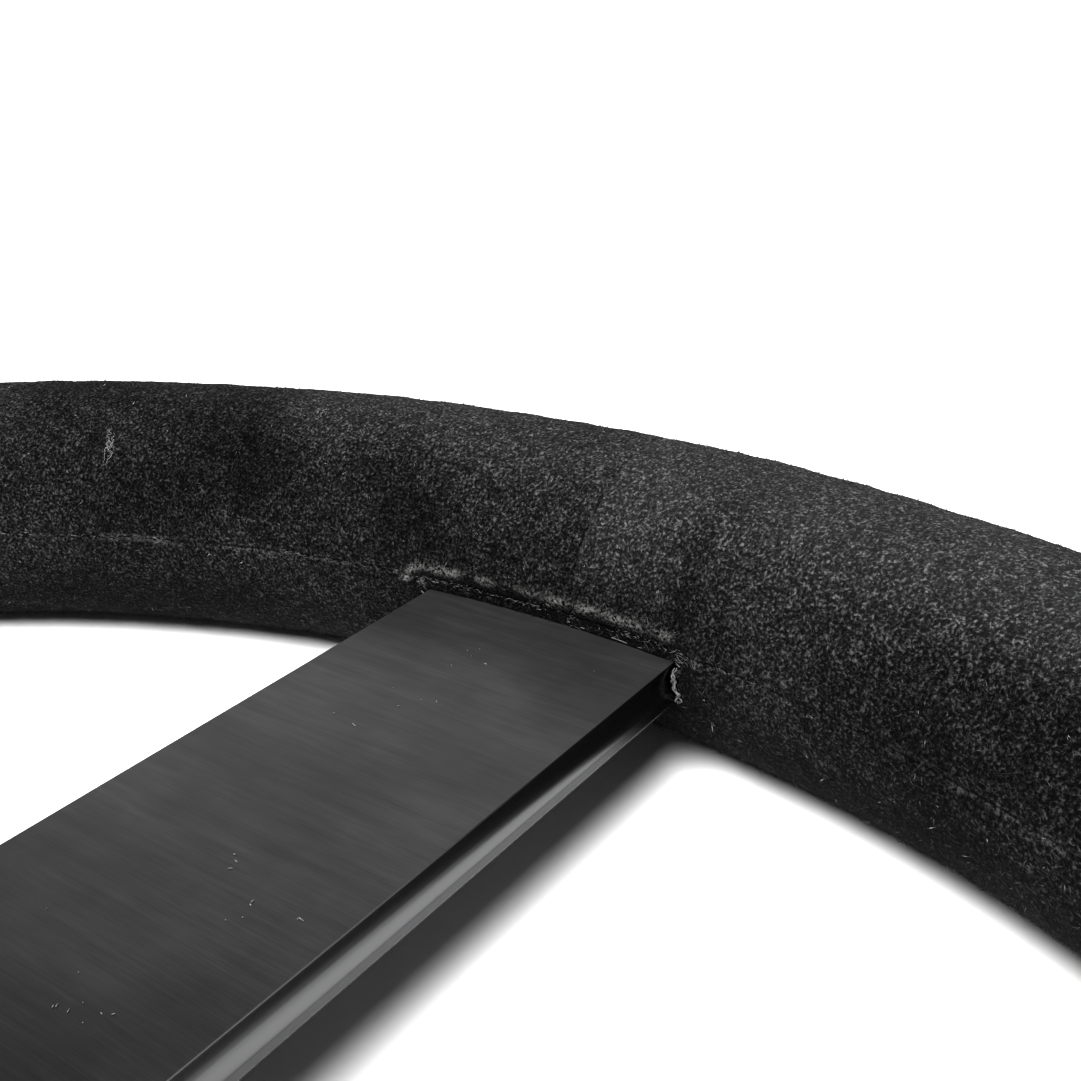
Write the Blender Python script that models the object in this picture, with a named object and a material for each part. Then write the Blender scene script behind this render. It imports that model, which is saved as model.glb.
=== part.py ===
"""A quick release steering wheel, lying driver's side down on a flat surface.

The frame: metres, +Z up and towards the steering column, the origin on the surface at the rim's centre.
The lower spoke (6 o'clock) points along -Y and 12 o'clock along +Y. The driver would look along +Z, with
+X on the left. The release collar is modelled in its released place, next to the wheel. It slides 6 mm
along +Z to lock.
"""

from math import acos, atan2, cos, pi, radians, sin, sqrt

import bmesh
import bpy
from mathutils import Matrix, Vector

MM = 0.001
GAP = 0.3 * MM  # left between any two pieces that touch on the real wheel

# rim
RIM_RADIUS = 150.5 * MM  # to the centre of the grip's section
GRIP_HALF_WIDTH = 14.4 * MM
GRIP_HALF_HEIGHT = 14.85 * MM
WRAP_THICKNESS = 1.2 * MM
SEAM_LIFT = 0.4 * MM  # the inner seam's height over the middle of the grip
SEAM_GAP = 0.3 * MM
RIM_STEPS = 36
SECTION_STEPS = 12
RIM_MIDDLE_Z = GRIP_HALF_HEIGHT

# plate with its three spokes
PLATE_THICKNESS = 4.0 * MM
PLATE_TOP = RIM_MIDDLE_Z
PLATE_BOTTOM = PLATE_TOP - PLATE_THICKNESS
PLATE_EDGE = (  # the blanked edge's shape: (depth below the column side, how far it stands out)
    (0.0 * MM, -0.08 * MM),
    (0.08 * MM, 0.0 * MM),
    (0.8 * MM, -0.28 * MM),
    (1.6 * MM, -0.48 * MM),
    (2.3 * MM, -0.44 * MM),
    (2.9 * MM, -0.20 * MM),
    (3.4 * MM, 0.12 * MM),
    (3.8 * MM, 0.40 * MM),
    (4.0 * MM, 0.32 * MM),
)
PLATE_FLARE = 0.40 * MM  # the most that the edge stands out
PLATE_BORE = 31.0 * MM
SPOKE_HALF_WIDTH = 15.15 * MM
SPOKE_END = 156.0 * MM
SPOKE_ANGLES = (radians(-90), radians(0), radians(180))
BOSS_RADIUS = 47.0 * MM
BOSS_FILLET = 18.0 * MM

# flat ring inside the grip, riveted on the spokes' ends
CORE_HALF_WIDTH = 7.0 * MM
CORE_THICKNESS = 3.0 * MM
CORE_BOTTOM = PLATE_TOP + GAP
CORE_TOP = CORE_BOTTOM + CORE_THICKNESS
RIVET_SIDE = 9.0 * MM
RIVET_SHANK = 2.4 * MM
RIVET_HEAD = 4.0 * MM
RIVET_HEAD_HEIGHT = 1.35 * MM
SLOT_CLEARANCE = 0.3 * MM
SLOT_SIDE = PLATE_FLARE + SLOT_CLEARANCE

# bolt circle shared by the wheel, the coupler and the column adapter
BOLT_CIRCLE = 35.0 * MM
BOLTS = 6
SCREW_SHANK = 2.35 * MM
SCREW_HOLE = 2.65 * MM
SCREW_HEAD = 4.5 * MM
SCREW_HEAD_HEIGHT = 2.6 * MM
ADAPTER_HOLE = 2.75 * MM

# coupler body on the wheel
FLANGE_RADIUS = 43.0 * MM
FLANGE_THICKNESS = 7.0 * MM
FLANGE_CHAMFER = 0.8 * MM
COUPLER_BOTTOM = PLATE_TOP + GAP
COUPLER_FLANGE_TOP = COUPLER_BOTTOM + FLANGE_THICKNESS
COUPLER_TOP = 55.0 * MM
COUPLER_BORE = 12.0 * MM
SOCKET_WALL = 30.0 * MM
SOCKET_BORE = 24.0 * MM
SOCKET_FLOOR = 22.6 * MM
SOCKET_STEP = 34.0 * MM
SPLINE_TEETH = 12
SPLINE_ROOT = 21.8 * MM
SPLINE_DEPTH = 1.8 * MM
HUB_STEPS = 48  # four to each tooth
RING_STEPS = 36

# six locking balls
BALLS = 6
BALL_RADIUS = 4.0 * MM
BALL_HOLE = 4.3 * MM
BALL_Z = 42.0 * MM
BALL_TRAVEL = 1.9 * MM
BALL_LOCKED = 26.2 * MM
BALL_RELEASED = BALL_LOCKED + BALL_TRAVEL

# release collar
COLLAR_TRAVEL = 6.0 * MM
COLLAR_BOTTOM = COUPLER_FLANGE_TOP + GAP
COLLAR_TOP = 45.0 * MM
COLLAR_RADIUS = 37.5 * MM
COLLAR_LAND = SOCKET_WALL + GAP
COLLAR_LAND_TOP = 34.9 * MM
COLLAR_SHOULDER = 31.0 * MM
COLLAR_CHAMBER = 34.0 * MM
COLLAR_FLUTES = 18
COLLAR_FLUTE_DEPTH = 1.0 * MM
COLLAR_STEPS = 54
COLLAR_CONE = BALL_TRAVEL / COLLAR_TRAVEL  # rise of the cone over its length

# column adapter
ADAPTER_BOTTOM = 25.0 * MM
ADAPTER_FLANGE_BOTTOM = 55.4 * MM
ADAPTER_TOP = ADAPTER_FLANGE_BOTTOM + FLANGE_THICKNESS
ADAPTER_BORE = 11.0 * MM
ADAPTER_STEP = 34.4 * MM
ADAPTER_NOSE = SPLINE_ROOT - GAP
ADAPTER_BOSS = SOCKET_BORE - GAP
BALL_GROOVE = 4.3 * MM

# horn push
BEZEL_TOP = PLATE_BOTTOM - GAP
BEZEL_THICKNESS = 4.7 * MM
BEZEL_BOTTOM = BEZEL_TOP - BEZEL_THICKNESS
BEZEL_LIP = 2.7 * MM  # thickness of the lip that keeps the button in
BEZEL_BORE = 27.0 * MM
BUTTON_SEAT = BEZEL_BOTTOM + BEZEL_LIP + GAP
BUTTON_RADIUS = 26.4 * MM
BUTTON_LOWEST = 1.8 * MM
BUTTON_FLANGE = 30.4 * MM
BUTTON_FLANGE_THICKNESS = 1.4 * MM
BUTTON_CUP = 20.5 * MM
BUTTON_FLOOR = 5.6 * MM
HORN_BASE_BOTTOM = 13.55 * MM
CONTACT_INNER = 21.5 * MM
CONTACT_OUTER = 24.5 * MM
HORN_SPRING_RADIUS = 15.0 * MM
HORN_SPRING_WIRE = 0.6 * MM

COLOURS = {  # name: (colour, roughness, metallic)
    "suede": ((0.020, 0.019, 0.018), 0.95, 0.0),
    "foam": ((0.05, 0.05, 0.05), 0.95, 0.0),
    "black_anodised": ((0.07, 0.07, 0.072), 0.42, 0.9),
    "alloy": ((0.55, 0.55, 0.56), 0.35, 1.0),
    "steel": ((0.60, 0.60, 0.58), 0.30, 1.0),
    "zinc": ((0.48, 0.49, 0.50), 0.40, 1.0),
    "spring_steel": ((0.30, 0.30, 0.31), 0.35, 1.0),
    "brass": ((0.80, 0.58, 0.25), 0.35, 1.0),
    "black_plastic": ((0.03, 0.03, 0.03), 0.50, 0.0),
    "nylon": ((0.75, 0.73, 0.66), 0.55, 0.0),
    "rubber": ((0.02, 0.02, 0.02), 0.80, 0.0),
}


def make_material(name):
    colour, roughness, metallic = COLOURS[name]
    material = bpy.data.materials.new(name)
    material.use_nodes = True
    shader = material.node_tree.nodes["Principled BSDF"]
    shader.inputs["Base Color"].default_value = (*colour, 1.0)
    shader.inputs["Roughness"].default_value = roughness
    shader.inputs["Metallic"].default_value = metallic
    material.diffuse_color = (*colour, 1.0)
    return material


def add_object(name, bm, finish=None):
    """A smooth-shaded object from bm. Without a finish it is a cutter, which the render leaves out."""
    bmesh.ops.remove_doubles(bm, verts=bm.verts, dist=1e-7)
    bmesh.ops.recalc_face_normals(bm, faces=bm.faces)
    mesh = bpy.data.meshes.new(name)
    bm.to_mesh(mesh)
    bm.free()
    thing = bpy.data.objects.new(name, mesh)
    bpy.context.scene.collection.objects.link(thing)
    if finish is None:
        thing.hide_render = True
        thing.display_type = "WIRE"
        return thing
    mesh.shade_smooth()
    mesh.set_sharp_from_angle(angle=radians(32))
    if finish not in bpy.data.materials:
        make_material(finish)
    mesh.materials.append(bpy.data.materials[finish])
    return thing


def cut(thing, *cutters):
    for cutter in cutters:
        boolean = thing.modifiers.new("cut_" + cutter.name, "BOOLEAN")
        boolean.operation = "DIFFERENCE"
        boolean.solver = "EXACT"
        boolean.object = cutter


def around(radius, angle, z):
    return Vector((radius * cos(angle), radius * sin(angle), z))


def spaced(count, start=0.0):
    return [start + 2 * pi * k / count for k in range(count)]


def spline_wave(angle):
    """0 on a tooth and 1 between two teeth, for an outline of four steps to each tooth."""
    share = (angle * SPLINE_TEETH / (2 * pi) + 1e-6) % 1.0
    return 0.0 if share < 0.5 else 1.0


def flute_wave(angle):
    return (0.5 - 0.5 * cos(COLLAR_FLUTES * angle)) ** 2


def turned(name, profile, finish, steps=HUB_STEPS, wave=None):
    """A body of revolution. profile is a closed outline of (radius, z) or (radius, z, depth), where
    depth times wave(angle) is taken off that radius."""
    bm = bmesh.new()
    rings = []
    for angle in spaced(steps):
        ring = []
        for point in profile:
            radius = point[0] - (point[2] * wave(angle) if len(point) > 2 else 0.0)
            ring.append(bm.verts.new(around(radius, angle, point[1])))
        rings.append(ring)
    for k, ring in enumerate(rings):
        beside = rings[(k + 1) % steps]
        for j in range(len(profile)):
            i = (j + 1) % len(profile)
            bm.faces.new((ring[j], beside[j], beside[i], ring[i]))
    return add_object(name, bm, finish)


def flat_ring(name, inner, outer, bottom, top, finish, steps=HUB_STEPS):
    return turned(name, [(inner, bottom), (outer, bottom), (outer, top), (inner, top)], finish, steps)


def swept_shell(name, outer, inner, angles, finish):
    """The strip between two open outlines, outer and inner, each a list of (radius, z), swept over angles."""
    bm = bmesh.new()
    outers = [[bm.verts.new(around(r, a, z)) for r, z in outer] for a in angles]
    inners = [[bm.verts.new(around(r, a, z)) for r, z in inner] for a in angles]
    last = len(outer) - 1
    for k in range(len(angles) - 1):
        for j in range(last):
            bm.faces.new((outers[k][j], outers[k][j + 1], outers[k + 1][j + 1], outers[k + 1][j]))
            bm.faces.new((inners[k][j], inners[k + 1][j], inners[k + 1][j + 1], inners[k][j + 1]))
        for j in (0, last):
            bm.faces.new((outers[k][j], outers[k + 1][j], inners[k + 1][j], inners[k][j]))
    for k in (0, len(angles) - 1):
        for j in range(last):
            bm.faces.new((outers[k][j], inners[k][j], inners[k][j + 1], outers[k][j + 1]))
    return add_object(name, bm, finish)


def coil(name, radius, wire, bottom, top, turns, finish, sides=5, steps=14):
    """A round-wire compression spring between the planes bottom and top."""
    bm = bmesh.new()
    total = round(turns * steps)
    rise = (top - bottom - 2 * wire) / total
    rings = []
    for k in range(total + 1):
        angle = 2 * pi * k / steps
        middle = bottom + wire + rise * k
        ring = []
        for side in spaced(sides):
            ring.append(bm.verts.new(around(radius + wire * cos(side), angle, middle + wire * sin(side))))
        rings.append(ring)
    for ring, beside in zip(rings, rings[1:]):
        for j in range(sides):
            i = (j + 1) % sides
            bm.faces.new((ring[j], ring[i], beside[i], beside[j]))
    bm.faces.new(rings[0])
    bm.faces.new(rings[-1])
    return add_object(name, bm, finish)


def add_rod(bm, radius, middle, direction, length, sides=16):
    """Adds a cylinder to bm, centred on middle along direction."""
    turn = Vector((0, 0, 1)).rotation_difference(direction).to_matrix().to_4x4()
    bmesh.ops.create_cone(
        bm,
        cap_ends=True,
        segments=sides,
        radius1=radius,
        radius2=radius,
        depth=length,
        matrix=Matrix.Translation(middle) @ turn,
    )


def rods_cutter(name, radius, places, bottom, top, sides=16):
    """One cutter of upright cylinders at places."""
    bm = bmesh.new()
    for x, y in places:
        add_rod(bm, radius, Vector((x, y, (bottom + top) / 2)), Vector((0, 0, 1)), top - bottom, sides)
    return add_object(name, bm)


def slots_cutter(name, inner, outer, bottom, top, clearance):
    """One cutter of three radial boxes, where the spokes go into the grip."""
    bm = bmesh.new()
    for angle in SPOKE_ANGLES:
        size = Matrix.Diagonal((outer - inner, 2 * (SPOKE_HALF_WIDTH + clearance), top - bottom, 1))
        place = Matrix.Translation(((inner + outer) / 2, 0, (bottom + top) / 2))
        bmesh.ops.create_cube(bm, size=1.0, matrix=Matrix.Rotation(angle, 4, "Z") @ place @ size)
    return add_object(name, bm)


def bolt_places():
    return [(BOLT_CIRCLE * cos(a), BOLT_CIRCLE * sin(a)) for a in spaced(BOLTS, radians(30))]


def rivet_places():
    """Two rivets side by side at the end of each spoke."""
    places = []
    for angle in SPOKE_ANGLES:
        for side in (-RIVET_SIDE, RIVET_SIDE):
            place = around(RIM_RADIUS, angle, 0) + around(side, angle + pi / 2, 0)
            places.append((place.x, place.y))
    return places


def grip_outline(inset):
    """The grip's section as (radius, z), inset from its surface, round from one side of the inner seam."""
    wide, high = GRIP_HALF_WIDTH - inset, GRIP_HALF_HEIGHT - inset
    seam = pi - SEAM_LIFT / GRIP_HALF_HEIGHT
    half_gap = SEAM_GAP / 2 / GRIP_HALF_HEIGHT
    start, end = seam + half_gap, seam + 2 * pi - half_gap
    outline = []
    for j in range(SECTION_STEPS + 1):
        turn = start + (end - start) * j / SECTION_STEPS
        outline.append((RIM_RADIUS + wide * cos(turn), RIM_MIDDLE_Z + high * sin(turn)))
    return outline


def make_wrap(name, first_quarter):
    """One of four suede panels, a quarter of the rim long, butted at its neighbours and along the seam."""
    quarter_steps = RIM_STEPS // 4
    end_gap = GAP / 2 / RIM_RADIUS
    angles = [first_quarter * pi / 2 + pi / 2 * k / quarter_steps for k in range(quarter_steps + 1)]
    angles[0] += end_gap
    angles[-1] -= end_gap
    return swept_shell(name, grip_outline(0.0), grip_outline(WRAP_THICKNESS), angles, "suede")


def make_grip():
    wraps = {"wrap_upper_left": 0, "wrap_upper_right": 1, "wrap_lower_right": 2, "wrap_lower_left": 3}
    slot_top = PLATE_TOP + SLOT_CLEARANCE + 0.05 * MM
    wrap_slots = slots_cutter(
        "cutter_wrap_slots",
        RIM_RADIUS - GRIP_HALF_WIDTH - 8 * MM,
        RIM_RADIUS - 4 * MM,
        PLATE_BOTTOM - SLOT_CLEARANCE,
        slot_top,
        SLOT_SIDE,
    )
    for name, quarter in wraps.items():
        cut(make_wrap(name, quarter), wrap_slots)

    padding = turned("rim_padding", grip_outline(WRAP_THICKNESS + GAP)[:-1], "foam", RIM_STEPS)
    core_room = flat_ring(
        "cutter_core_room",
        RIM_RADIUS - CORE_HALF_WIDTH - GAP,
        RIM_RADIUS + CORE_HALF_WIDTH + GAP,
        CORE_BOTTOM - GAP,
        CORE_TOP + GAP,
        None,
        RIM_STEPS,
    )
    padding_slots = slots_cutter(
        "cutter_padding_slots",
        RIM_RADIUS - GRIP_HALF_WIDTH - 8 * MM,
        SPOKE_END + 0.6 * MM,
        PLATE_BOTTOM - SLOT_CLEARANCE,
        CORE_BOTTOM + 0.5 * MM,
        SLOT_SIDE + 0.02 * MM,
    )
    rivet_room = rods_cutter(
        "cutter_rivet_room",
        RIVET_HEAD + 0.4 * MM,
        rivet_places(),
        PLATE_BOTTOM - GAP - RIVET_HEAD_HEIGHT - 0.4 * MM,
        CORE_TOP + GAP + RIVET_HEAD_HEIGHT + 0.4 * MM,
        8,
    )
    cut(padding, core_room, padding_slots, rivet_room)

    inner, outer = RIM_RADIUS - CORE_HALF_WIDTH, RIM_RADIUS + CORE_HALF_WIDTH
    core = flat_ring("rim_core", inner, outer, CORE_BOTTOM, CORE_TOP, "alloy", RIM_STEPS)
    rivet_holes = rods_cutter(
        "cutter_rivet_holes",
        RIVET_SHANK + GAP,
        rivet_places(),
        PLATE_BOTTOM - 2 * MM,
        CORE_TOP + 2 * MM,
        8,
    )
    cut(core, rivet_holes)
    make_rivets()
    return rivet_holes


def make_rivets():
    low, high = PLATE_BOTTOM - GAP, CORE_TOP + GAP
    crown = 0.65  # share of the head's radius that is flat on top
    profile = [
        (0.0, low - RIVET_HEAD_HEIGHT),
        (crown * RIVET_HEAD, low - RIVET_HEAD_HEIGHT),
        (RIVET_HEAD, low),
        (RIVET_SHANK, low),
        (RIVET_SHANK, high),
        (RIVET_HEAD, high),
        (crown * RIVET_HEAD, high + RIVET_HEAD_HEIGHT),
        (0.0, high + RIVET_HEAD_HEIGHT),
    ]
    for number, (x, y) in enumerate(rivet_places(), 1):
        turned(f"rivet_{number}", profile, "zinc", 8).location = (x, y, 0)


def arc(centre, radius, start, end, steps):
    """Points on an arc from the angle start to end, both ends included."""
    points = []
    for k in range(steps + 1):
        angle = start + (end - start) * k / steps
        points.append(centre + Vector((radius * cos(angle), radius * sin(angle))))
    return points


def spoke_side(angle, side, grown):
    """One side of a spoke, from its outer corner in to the boss. side is 1 or -1."""
    half_width, fillet = SPOKE_HALF_WIDTH + grown, BOSS_FILLET - grown
    reach, swing = fillet_place()
    centre = Vector((reach, side * (half_width + fillet)))
    corner = Vector((SPOKE_END + grown, side * half_width))
    turn = Matrix.Rotation(angle, 2)
    round_in = arc(centre, fillet, side * 1.5 * pi, side * (pi + swing), 4)
    return [turn @ point for point in [corner, *round_in]]


def fillet_place():
    """How far along the spoke a fillet's centre is, and its angle from the spoke's middle line."""
    aside = SPOKE_HALF_WIDTH + BOSS_FILLET
    reach = sqrt((BOSS_RADIUS + BOSS_FILLET) ** 2 - aside**2)
    return reach, atan2(aside, reach)


def plate_outline(grown):
    """The plate's outline, grown outwards: three parallel-sided spokes with fillets on a round boss."""
    swing = fillet_place()[1]
    points = []
    for index, angle in enumerate(SPOKE_ANGLES):
        points += reversed(spoke_side(angle, -1, grown))
        points += spoke_side(angle, 1, grown)
        start = angle + swing
        end = SPOKE_ANGLES[(index + 1) % len(SPOKE_ANGLES)] - swing
        if end < start:
            end += 2 * pi
        steps = max(2, round((end - start) / radians(11)))
        points += arc(Vector((0, 0)), BOSS_RADIUS + grown, start, end, steps)[1:-1]
    return points


def make_plate(rivet_holes):
    bm = bmesh.new()
    rings = []
    for depth, grown in PLATE_EDGE:
        rings.append([bm.verts.new((p.x, p.y, PLATE_TOP - depth)) for p in plate_outline(grown)])
    for ring, below in zip(rings, rings[1:]):
        for j in range(len(ring)):
            i = (j + 1) % len(ring)
            bm.faces.new((ring[j], ring[i], below[i], below[j]))
    bm.faces.new(rings[0])
    bm.faces.new(rings[-1])
    plate = add_object("spoke_plate", bm, "black_anodised")
    low, high = PLATE_BOTTOM - 2 * MM, PLATE_TOP + 2 * MM
    bore = rods_cutter("cutter_plate_bore", PLATE_BORE, [(0, 0)], low, high, RING_STEPS)
    screws = rods_cutter("cutter_plate_screws", SCREW_HOLE, bolt_places(), low, high, 10)
    cut(plate, bore, screws, rivet_holes)


def make_coupler():
    """The half on the wheel: a flange, and a socket with a splined lower part and six ball holes."""
    groove_bottom, groove_top = 31.6 * MM, 33.8 * MM  # for the anti-rattle ring
    snap_bottom, snap_top = 52.3 * MM, 53.9 * MM
    chamfer = FLANGE_CHAMFER
    profile = [
        (COUPLER_BORE, COUPLER_BOTTOM),
        (FLANGE_RADIUS, COUPLER_BOTTOM),
        (FLANGE_RADIUS, COUPLER_FLANGE_TOP - chamfer),
        (FLANGE_RADIUS - chamfer, COUPLER_FLANGE_TOP),
        (SOCKET_WALL, COUPLER_FLANGE_TOP),
        (SOCKET_WALL, groove_bottom),
        (SOCKET_WALL - 1.9 * MM, groove_bottom),
        (SOCKET_WALL - 1.9 * MM, groove_top),
        (SOCKET_WALL, groove_top),
        (SOCKET_WALL, snap_bottom),
        (SOCKET_WALL - 1.4 * MM, snap_bottom),
        (SOCKET_WALL - 1.4 * MM, snap_top),
        (SOCKET_WALL, snap_top),
        (SOCKET_WALL, COUPLER_TOP - 0.5 * MM),
        (SOCKET_WALL - 0.5 * MM, COUPLER_TOP),
        (SOCKET_BORE + chamfer, COUPLER_TOP),
        (SOCKET_BORE, COUPLER_TOP - chamfer),
        (SOCKET_BORE, SOCKET_STEP),
        (SPLINE_ROOT, SOCKET_STEP, SPLINE_DEPTH),
        (SPLINE_ROOT, SOCKET_FLOOR, SPLINE_DEPTH),
        (COUPLER_BORE, SOCKET_FLOOR),
    ]
    coupler = turned("coupler_body", profile, "black_anodised", wave=spline_wave)
    screw_holes = rods_cutter(
        "cutter_coupler_screws",
        SCREW_HOLE,
        bolt_places(),
        COUPLER_BOTTOM - 2 * MM,
        COUPLER_FLANGE_TOP + 2 * MM,
        10,
    )
    bm = bmesh.new()
    for angle in ball_angles():
        middle = around((SOCKET_WALL + SOCKET_BORE) / 2, angle, BALL_Z)
        add_rod(bm, BALL_HOLE, middle, around(1, angle, 0), SOCKET_WALL - SOCKET_BORE + 3 * MM, 12)
    ball_holes = add_object("cutter_ball_holes", bm)
    cut(coupler, screw_holes, ball_holes)

    ring_centre, ring_radius = SOCKET_WALL - 0.75 * MM, 0.6 * MM
    middle = (groove_bottom + groove_top) / 2
    section = [(ring_centre + ring_radius * cos(a), middle + ring_radius * sin(a)) for a in spaced(5)]
    turned("anti_rattle_ring", section, "rubber", RING_STEPS)

    flat_ring("stop_washer", COLLAR_LAND, 35.2 * MM, 51.3 * MM, 52.1 * MM, "zinc", RING_STEPS)
    inner, outer = SOCKET_WALL - 1.1 * MM, SOCKET_WALL + 1.8 * MM
    low, high = snap_bottom + GAP / 2, snap_top - GAP
    opening = radians(9)
    angles = [opening + (2 * pi - 2 * opening) * k / 32 for k in range(33)]
    edges = [(outer, low), (outer, high)], [(inner, low), (inner, high)]
    swept_shell("snap_ring", *edges, angles, "spring_steel")


def ball_angles():
    return spaced(BALLS)


def make_balls():
    """Each ball is centred on its own radial slide, in the released place."""
    for number, angle in enumerate(ball_angles(), 1):
        bm = bmesh.new()
        bmesh.ops.create_uvsphere(bm, u_segments=12, v_segments=8, radius=BALL_RADIUS)
        add_object(f"ball_{number}", bm, "steel").location = around(BALL_RELEASED, angle, BALL_Z)


def make_collar():
    """The sliding sleeve: a spring chamber, a short land above it, and a cone that lets the balls out."""
    chamfer = 0.8 * MM
    cone_top = COLLAR_LAND + COLLAR_CONE * (COLLAR_TOP - COLLAR_LAND_TOP)
    flutes_bottom, flutes_top = COLLAR_BOTTOM + 5.5 * MM, COLLAR_TOP - 5.0 * MM
    profile = [
        (COLLAR_CHAMBER, COLLAR_BOTTOM),
        (COLLAR_RADIUS - chamfer, COLLAR_BOTTOM),
        (COLLAR_RADIUS, COLLAR_BOTTOM + chamfer),
        (COLLAR_RADIUS, flutes_bottom - 1.0 * MM),
        (COLLAR_RADIUS, flutes_bottom, COLLAR_FLUTE_DEPTH),
        (COLLAR_RADIUS, flutes_top, COLLAR_FLUTE_DEPTH),
        (COLLAR_RADIUS, flutes_top + 1.0 * MM),
        (COLLAR_RADIUS, COLLAR_TOP - chamfer),
        (COLLAR_RADIUS - chamfer, COLLAR_TOP),
        (cone_top, COLLAR_TOP),
        (COLLAR_LAND, COLLAR_LAND_TOP),
        (COLLAR_LAND, COLLAR_SHOULDER),
        (COLLAR_CHAMBER, COLLAR_SHOULDER),
    ]
    turned("release_collar", profile, "alloy", COLLAR_STEPS, flute_wave)
    spring_middle = (COLLAR_LAND + COLLAR_CHAMBER) / 2
    coil(
        "collar_spring",
        spring_middle,
        0.75 * MM,
        COLLAR_BOTTOM + 0.1 * MM,
        COLLAR_SHOULDER - GAP,
        3,
        "spring_steel",
    )


def make_adapter():
    """The half on the column: a bolted flange, a boss with the balls' groove, and a splined nose."""
    half_angle = acos((BALL_LOCKED - ADAPTER_BOSS) / BALL_GROOVE)
    groove = []
    for k in range(7):
        turn = -half_angle + 2 * half_angle * k / 6
        groove.append((BALL_LOCKED - BALL_GROOVE * cos(turn), BALL_Z + BALL_GROOVE * sin(turn)))
    chamfer = FLANGE_CHAMFER
    profile = [
        (ADAPTER_BORE, ADAPTER_BOTTOM),
        (ADAPTER_NOSE - chamfer, ADAPTER_BOTTOM, SPLINE_DEPTH),
        (ADAPTER_NOSE, ADAPTER_BOTTOM + chamfer, SPLINE_DEPTH),
        (ADAPTER_NOSE, ADAPTER_STEP, SPLINE_DEPTH),
        (ADAPTER_BOSS, ADAPTER_STEP),
        *groove,
        (ADAPTER_BOSS, ADAPTER_FLANGE_BOTTOM),
        (FLANGE_RADIUS - chamfer, ADAPTER_FLANGE_BOTTOM),
        (FLANGE_RADIUS, ADAPTER_FLANGE_BOTTOM + chamfer),
        (FLANGE_RADIUS, ADAPTER_TOP - chamfer),
        (FLANGE_RADIUS - chamfer, ADAPTER_TOP),
        (ADAPTER_BORE + chamfer, ADAPTER_TOP),
        (ADAPTER_BORE, ADAPTER_TOP - chamfer),
    ]
    adapter = turned("column_adapter", profile, "alloy", wave=spline_wave)
    holes = rods_cutter(
        "cutter_adapter_holes",
        ADAPTER_HOLE,
        bolt_places(),
        ADAPTER_FLANGE_BOTTOM - 2 * MM,
        ADAPTER_TOP + 2 * MM,
        12,
    )
    cut(adapter, holes)


def make_screws():
    """Button-head M5 screws, from the driver's side through bezel and plate into the coupler's flange."""
    seat = BEZEL_BOTTOM - GAP
    low = seat - SCREW_HEAD_HEIGHT
    tip = COUPLER_FLANGE_TOP - 0.65 * MM
    recess, recess_depth = 1.6 * MM, 1.5 * MM
    profile = [
        (0.0, low + recess_depth),
        (recess, low + recess_depth),
        (recess, low),
        (0.55 * SCREW_HEAD, low),
        (0.88 * SCREW_HEAD, low + 0.35 * SCREW_HEAD_HEIGHT),
        (SCREW_HEAD, low + 0.8 * SCREW_HEAD_HEIGHT),
        (SCREW_HEAD, seat),
        (SCREW_SHANK, seat),
        (SCREW_SHANK, tip - 0.5 * MM),
        (SCREW_SHANK - 0.5 * MM, tip),
        (0.0, tip),
    ]
    for number, (x, y) in enumerate(bolt_places(), 1):
        turned(f"screw_{number}", profile, "steel", 10).location = (x, y, 0)


def make_horn():
    chamfer = 0.7 * MM
    bezel = turned(
        "horn_bezel",
        [
            (BEZEL_BORE + chamfer, BEZEL_BOTTOM),
            (FLANGE_RADIUS - chamfer, BEZEL_BOTTOM),
            (FLANGE_RADIUS, BEZEL_BOTTOM + chamfer),
            (FLANGE_RADIUS, BEZEL_TOP),
            (PLATE_BORE, BEZEL_TOP),
            (PLATE_BORE, BEZEL_BOTTOM + BEZEL_LIP),
            (BEZEL_BORE, BEZEL_BOTTOM + BEZEL_LIP),
            (BEZEL_BORE, BEZEL_BOTTOM + chamfer),
        ],
        "black_anodised",
    )
    cut(
        bezel,
        rods_cutter("cutter_bezel_screws", SCREW_HOLE, bolt_places(), BEZEL_BOTTOM - MM, BEZEL_TOP + MM, 10),
    )

    flange_top = BUTTON_SEAT + BUTTON_FLANGE_THICKNESS
    dome_edge = 6.6 * MM  # where the dome meets the straight side
    dome = []
    for k in range(7):
        share = k / 6
        drop = (dome_edge - BUTTON_LOWEST) * (1 - sqrt(1 - share**3))
        dome.append((BUTTON_RADIUS * share, BUTTON_LOWEST + drop))
    turned(
        "horn_button",
        [
            *dome,
            (BUTTON_RADIUS, BUTTON_SEAT),
            (BUTTON_FLANGE, BUTTON_SEAT),
            (BUTTON_FLANGE, flange_top),
            (BUTTON_CUP, flange_top),
            (BUTTON_CUP - 1.5 * MM, BUTTON_FLOOR),
            (0.0, BUTTON_FLOOR),
        ],
        "black_plastic",
        RING_STEPS,
    )
    low = flange_top + GAP
    flat_ring("horn_contact_moving", CONTACT_INNER, CONTACT_OUTER, low, low + 0.5 * MM, "brass", RING_STEPS)
    high = HORN_BASE_BOTTOM - GAP
    flat_ring("horn_contact_fixed", CONTACT_INNER, CONTACT_OUTER, high - 0.4 * MM, high, "brass", RING_STEPS)
    low, high = HORN_BASE_BOTTOM, PLATE_TOP
    disc = [(0.0, low), (BUTTON_FLANGE, low), (BUTTON_FLANGE, high), (0.0, high)]
    turned("horn_base", disc, "nylon", RING_STEPS)
    coil(
        "horn_spring",
        HORN_SPRING_RADIUS,
        HORN_SPRING_WIRE,
        BUTTON_FLOOR + GAP,
        HORN_BASE_BOTTOM - GAP,
        3,
        "spring_steel",
    )
    for number, x in enumerate((-4.5 * MM, 4.5 * MM), 1):
        make_terminal(f"horn_terminal_{number}", x)


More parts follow.
